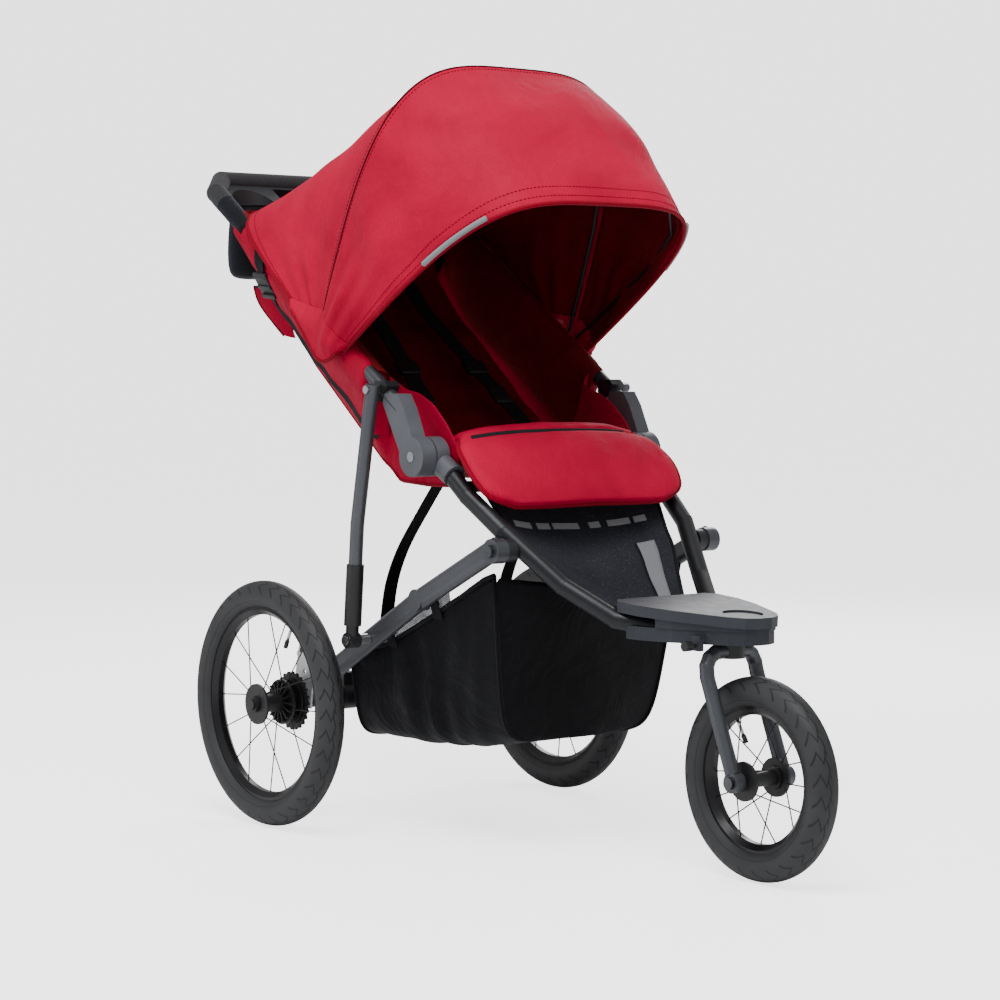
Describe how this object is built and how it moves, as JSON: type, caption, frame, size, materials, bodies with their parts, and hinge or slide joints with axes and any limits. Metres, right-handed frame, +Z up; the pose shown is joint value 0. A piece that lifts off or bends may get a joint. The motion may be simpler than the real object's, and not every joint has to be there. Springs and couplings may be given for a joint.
{
  "type": "jogging stroller",
  "caption": "Folding three-wheeled jogging stroller with a swivelling front wheel, reclining seat, two-bow canopy, parent console and under-seat basket.",
  "frame": {"origin": "on the ground under the middle of the bounding box", "axes": "+X across the stroller, +Y towards the handlebar, +Z up; the front wheel points to -Y"},
  "size_m": [0.68, 1.3003, 1.2268],
  "materials": {
    "tyre": "matt",
    "frame_paint": "satin",
    "black_metal": "satin",
    "spoke_steel": "satin",
    "hub_plastic": "satin",
    "black_plastic": "matt",
    "footplate_plastic": "satin",
    "bright_steel": "satin",
    "foam": "matt",
    "red_fabric": "woven",
    "black_fabric": "woven",
    "calf_fabric": "heathered weave"
  },
  "bodies": {
    "front_frame": {"front_tubes": "frame_paint", "pivot_brackets": "black_plastic", "cross_bar": "frame_paint", "head_block": "black_plastic", "footplate": "footplate_plastic", "footplate_tray": "black_plastic", "inner_hubs": "hub_plastic", "hub_bolts": "bright_steel", "seat_cushion": "red_fabric", "front_flap": "red_fabric", "calf_panel": "calf_fabric", "crotch_strap": "black_fabric"},
    "fork": {"fork_legs": "frame_paint", "fork_crown": "black_plastic", "fork_dropouts": "frame_paint", "front_axle": "bright_steel"},
    "swivel_lock": {"swivel_lock_knob": "black_plastic"},
    "front_wheel": {"front_tyre": "tyre", "front_rim": "black_metal", "front_spokes": "spoke_steel", "front_hub": "black_plastic"},
    "rear_frame": {"lower_tubes": "frame_paint", "joint_rivets": "bright_steel", "rear_axle_tube": "black_metal", "axle_clamps": "black_plastic", "foot_pins": "bright_steel", "brake_plates": "bright_steel", "stub_axles": "bright_steel", "basket": "black_fabric"},
    "brake": {"brake_pedal": "black_plastic"},
    "left_wheel": {"left_tyre": "tyre", "left_rim": "black_metal", "left_spokes": "spoke_steel", "left_hub": "black_plastic", "left_brake_disc": "black_plastic", "left_cap": "black_plastic"},
    "right_wheel": {"right_tyre": "tyre", "right_rim": "black_metal", "right_spokes": "spoke_steel", "right_hub": "black_plastic", "right_brake_disc": "black_plastic", "right_cap": "black_plastic"},
    "struts": {"strut_tubes": "frame_paint", "strut_sleeves": "black_plastic", "strut_rivets": "bright_steel"},
    "handle": {"handle_tube": "frame_paint", "handle_grip": "foam", "outer_hubs": "hub_plastic", "strut_lugs": "black_plastic", "console": "black_plastic", "side_wings": "red_fabric", "recline_straps": "black_fabric", "canopy_mounts": "black_plastic", "canopy_rear": "red_fabric"},
    "seat_back_body": {"seat_back": "red_fabric", "shoulder_straps": "black_fabric"},
    "main_canopy_bow": {"main_bow": "black_metal", "bow_pivots": "black_metal", "canopy_visor": "red_fabric"},
    "front_canopy_bow": {"front_bow": "black_metal"}
  },
  "joints": [
    {"name": "frame_fold", "type": "hinge", "parent": "front_frame", "child": "handle", "pos_m": [0, 0.021, 0.609], "axis": [1, 0, 0], "range_deg": [0, 155], "deforming": ["side_wings", "recline_straps", "canopy_rear", "canopy_visor", "basket", "calf_panel"]},
    {"name": "rear_frame_fold", "type": "hinge", "parent": "front_frame", "child": "rear_frame", "pos_m": [0, -0.154, 0.472], "axis": [1, 0, 0], "range_deg": [-33, 0.5]},
    {"name": "strut_fold", "type": "hinge", "parent": "rear_frame", "child": "struts", "pos_m": [0, 0.162, 0.314], "axis": [1, 0, 0], "range_deg": [-0.5, 43.5]},
    {"name": "fork_swivel", "type": "hinge", "parent": "front_frame", "child": "fork", "pos_m": [0, -0.44, 0.34], "axis": [0, 0, 1], "continuous": true},
    {"name": "swivel_lock_slide", "type": "slide", "parent": "front_frame", "child": "swivel_lock", "axis": [-1, 0, 0], "range_m": [0, 0.008]},
    {"name": "front_wheel_spin", "type": "hinge", "parent": "fork", "child": "front_wheel", "pos_m": [0, -0.5, 0.15], "axis": [1, 0, 0], "continuous": true},
    {"name": "left_wheel_spin", "type": "hinge", "parent": "rear_frame", "child": "left_wheel", "pos_m": [-0.305, 0.332, 0.2], "axis": [1, 0, 0], "continuous": true},
    {"name": "right_wheel_spin", "type": "hinge", "parent": "rear_frame", "child": "right_wheel", "pos_m": [0.305, 0.332, 0.2], "axis": [1, 0, 0], "continuous": true},
    {"name": "brake_press", "type": "hinge", "parent": "rear_frame", "child": "brake", "pos_m": [0, 0.322, 0.262], "axis": [-1, 0, 0], "range_deg": [0, 18]},
    {"name": "seat_recline", "type": "hinge", "parent": "handle", "child": "seat_back_body", "pos_m": [0, 0.151, 0.59], "axis": [-1, 0, 0], "range_deg": [-8, 24], "deforming": ["shoulder_straps"]},
    {"name": "canopy_fold", "type": "hinge", "parent": "handle", "child": "main_canopy_bow", "pos_m": [0, 0.246, 0.785], "axis": [1, 0, 0], "range_deg": [-63, 0.5]},
    {"name": "canopy_rim_fold", "type": "hinge", "parent": "main_canopy_bow", "child": "front_canopy_bow", "pos_m": [0, 0.246, 0.785], "axis": [1, 0, 0], "range_deg": [-34, 0.5]}
  ],
  "couplings": [
    {"joint": "rear_frame_fold", "follows": "frame_fold", "ratio": -0.2075},
    {"joint": "strut_fold", "follows": "frame_fold", "ratio": 0.2747},
    {"joint": "canopy_fold", "follows": "frame_fold", "ratio": -0.4},
    {"joint": "canopy_rim_fold", "follows": "frame_fold", "ratio": -0.212}
  ]
}
